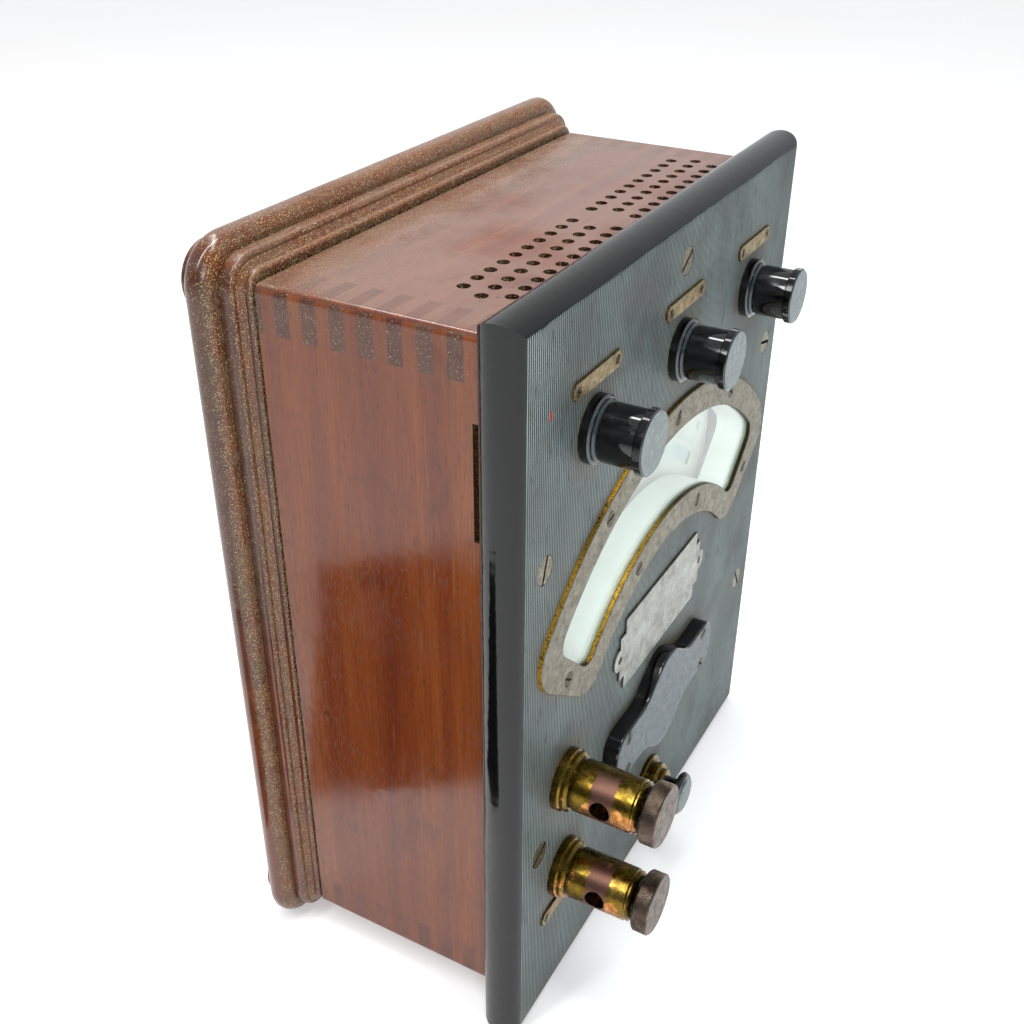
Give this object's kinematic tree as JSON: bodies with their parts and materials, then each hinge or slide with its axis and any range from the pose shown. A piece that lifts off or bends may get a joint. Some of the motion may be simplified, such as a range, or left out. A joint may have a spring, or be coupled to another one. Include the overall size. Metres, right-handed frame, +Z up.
{
  "type": "analog multimeter",
  "caption": "Antique portable laboratory test meter standing on end: polished mahogany case, ribbed ebonite panel, arched mirror scale, screw terminals, press key.",
  "frame": {"origin": "on the floor, at the middle of the whole part (bounding box bottom centre)", "axes": "+Z up along the case as it stands on its end; the panel looks towards -Y; the plinth and its feet look towards +Y"},
  "size_m": [0.2126, 0.1484, 0.2669],
  "materials": {
    "mahogany_case": "french polished, worn and dusty",
    "mahogany_plinth": "french polished",
    "ebonite_panel": "ribbed ebonite, dull and dusty, polished edge",
    "ebonite_black": "turned and polished ebonite",
    "felt": "black felt",
    "nickel_silver": "dull grained nickel silver",
    "label_brass": "silvered brass, tarnished",
    "window_glass": "clear",
    "dial_white": "flat white paint",
    "dial_mirror": "silvered",
    "steel_dark": "blued steel, worn",
    "steel_bright": "bright drawn steel",
    "turned_brass": "turned",
    "post_brass": "lacquered, worn through in places",
    "head_brass": "dark oxidised, knurled",
    "blackened_aluminium": "blackened",
    "bronze_spring": "drawn strip",
    "copper_wire": "enamelled copper windings",
    "lead_cotton": "cotton braid over rubber"
  },
  "bodies": {
    "instrument": {"bezel_screws": "nickel_silver", "bobbin_formers": "ebonite_black", "bobbin_rods": "steel_bright", "bobbin_windings": "copper_wire", "case_wall_bottom": "mahogany_case", "case_wall_left": "mahogany_case", "case_wall_right": "mahogany_case", "case_wall_top": "mahogany_case", "coil_formers": "ebonite_black", "cover_block": "ebonite_black", "cover_screws": "steel_dark", "current_leads": "lead_cotton", "current_posts": "post_brass", "damping_box": "turned_brass", "dial_mirror": "dial_mirror", "dial_plate": "dial_white", "field_coils": "copper_wire", "front_bridge": "turned_brass", "hairsprings": "bronze_spring", "jewel_screw": "turned_brass", "key_blades": "turned_brass", "key_collar": "post_brass", "movement_pillars": "turned_brass", "nameplate": "label_brass", "panel": "ebonite_panel", "panel_gasket": "felt", "panel_screws": "steel_dark", "plate_screws": "steel_dark", "plinth": "mahogany_plinth", "plinth_feet": "mahogany_plinth", "plinth_screws": "steel_dark", "rear_bridge": "turned_brass", "rod_brackets": "turned_brass", "stud_lugs": "turned_brass", "stud_nuts": "turned_brass", "stud_washers": "turned_brass", "terminal_collars": "ebonite_black", "terminal_labels": "label_brass", "terminal_studs": "turned_brass", "voltage_leads": "lead_cotton", "window_bezel": "nickel_silver", "window_glass": "window_glass", "window_liner": "dial_white"},
    "terminal_insert_1": {"terminal_insert_1": "turned_brass"},
    "terminal_head_1": {"terminal_head_1": "ebonite_black"},
    "terminal_insert_2": {"terminal_insert_2": "turned_brass"},
    "terminal_head_2": {"terminal_head_2": "ebonite_black"},
    "terminal_insert_3": {"terminal_insert_3": "turned_brass"},
    "terminal_head_3": {"terminal_head_3": "ebonite_black"},
    "clamp_spindle_upper": {"clamp_spindle_upper": "turned_brass"},
    "clamp_head_upper": {"clamp_head_upper": "head_brass"},
    "clamp_spindle_lower": {"clamp_spindle_lower": "turned_brass"},
    "clamp_head_lower": {"clamp_head_lower": "head_brass"},
    "key": {"key_plunger": "ebonite_black", "key_bridge": "turned_brass"},
    "pointer_staff": {"pointer": "blackened_aluminium", "pointer_weight": "turned_brass", "staff": "steel_bright", "moving_coil": "copper_wire", "damping_vane": "blackened_aluminium"}
  },
  "joints": [
    {"name": "terminal_lift_1", "type": "slide", "parent": "instrument", "child": "terminal_insert_1", "axis": [0, -1, 0], "range_m": [0, 0.006]},
    {"name": "terminal_turn_1", "type": "hinge", "parent": "terminal_insert_1", "child": "terminal_head_1", "pos_m": [-0.0627, -0.0485, 0.2183], "axis": [0, -1, 0], "range_deg": [-10, 2680]},
    {"name": "terminal_lift_2", "type": "slide", "parent": "instrument", "child": "terminal_insert_2", "axis": [0, -1, 0], "range_m": [0, 0.006]},
    {"name": "terminal_turn_2", "type": "hinge", "parent": "terminal_insert_2", "child": "terminal_head_2", "pos_m": [0, -0.0485, 0.2183], "axis": [0, -1, 0], "range_deg": [-10, 2680]},
    {"name": "terminal_lift_3", "type": "slide", "parent": "instrument", "child": "terminal_insert_3", "axis": [0, -1, 0], "range_m": [0, 0.006]},
    {"name": "terminal_turn_3", "type": "hinge", "parent": "terminal_insert_3", "child": "terminal_head_3", "pos_m": [0.0627, -0.0485, 0.2183], "axis": [0, -1, 0], "range_deg": [-10, 2680]},
    {"name": "clamp_lift_upper", "type": "slide", "parent": "instrument", "child": "clamp_spindle_upper", "axis": [0, -1, 0], "range_m": [-0.0006, 0.0072]},
    {"name": "clamp_turn_upper", "type": "hinge", "parent": "clamp_spindle_upper", "child": "clamp_head_upper", "pos_m": [-0.07385, -0.0705, 0.0961], "axis": [0, -1, 0], "range_deg": [-226, 2602]},
    {"name": "clamp_lift_lower", "type": "slide", "parent": "instrument", "child": "clamp_spindle_lower", "axis": [0, -1, 0], "range_m": [-0.0006, 0.0072]},
    {"name": "clamp_turn_lower", "type": "hinge", "parent": "clamp_spindle_lower", "child": "clamp_head_lower", "pos_m": [-0.07385, -0.0705, 0.056], "axis": [0, -1, 0], "range_deg": [-226, 2602]},
    {"name": "key_press", "type": "slide", "parent": "instrument", "child": "key", "axis": [0, 1, 0], "range_m": [0, 0.003], "stiffness_N_per_m": 260, "springref_m": -0.001},
    {"name": "pointer_swing", "type": "hinge", "parent": "instrument", "child": "pointer_staff", "pos_m": [0, -0.0225, 0.0731], "axis": [0, 1, 0], "range_deg": [0, 84], "stiffness_Nm_per_rad": 0.00005, "springref_deg": -11.46}
  ],
  "couplings": [
    {"joint": "terminal_turn_1", "follows": "terminal_lift_1", "rad_per_m": 7757},
    {"joint": "terminal_turn_2", "follows": "terminal_lift_2", "rad_per_m": 7757},
    {"joint": "terminal_turn_3", "follows": "terminal_lift_3", "rad_per_m": 7757},
    {"joint": "clamp_turn_upper", "follows": "clamp_lift_upper", "rad_per_m": 6283.2},
    {"joint": "clamp_turn_lower", "follows": "clamp_lift_lower", "rad_per_m": 6283.2}
  ]
}
